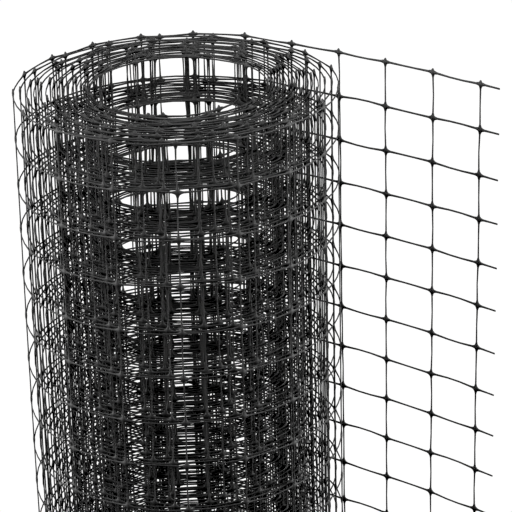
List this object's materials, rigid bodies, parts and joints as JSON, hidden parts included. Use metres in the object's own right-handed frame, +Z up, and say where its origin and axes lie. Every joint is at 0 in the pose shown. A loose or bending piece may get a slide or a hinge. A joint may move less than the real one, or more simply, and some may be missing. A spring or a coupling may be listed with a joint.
{
  "type": "roll of plastic net fencing",
  "caption": "Upright roll of black plastic net fencing with an open core, its outer end led off flat to one side to show the oblong mesh.",
  "frame": {"origin": "middle of the part's base, on the surface that it stands on", "axes": "+Z up along the roll's axis, +Y away from the viewer of the front, +X to the side that the loose end is led off to"},
  "size_m": [0.3996, 0.271, 1.0064],
  "materials": {
    "black_plastic": "satin black polyethylene"
  },
  "bodies": {
    "root": {"net_roll": "black_plastic", "loose_end": "black_plastic"}
  },
  "joints": []
}
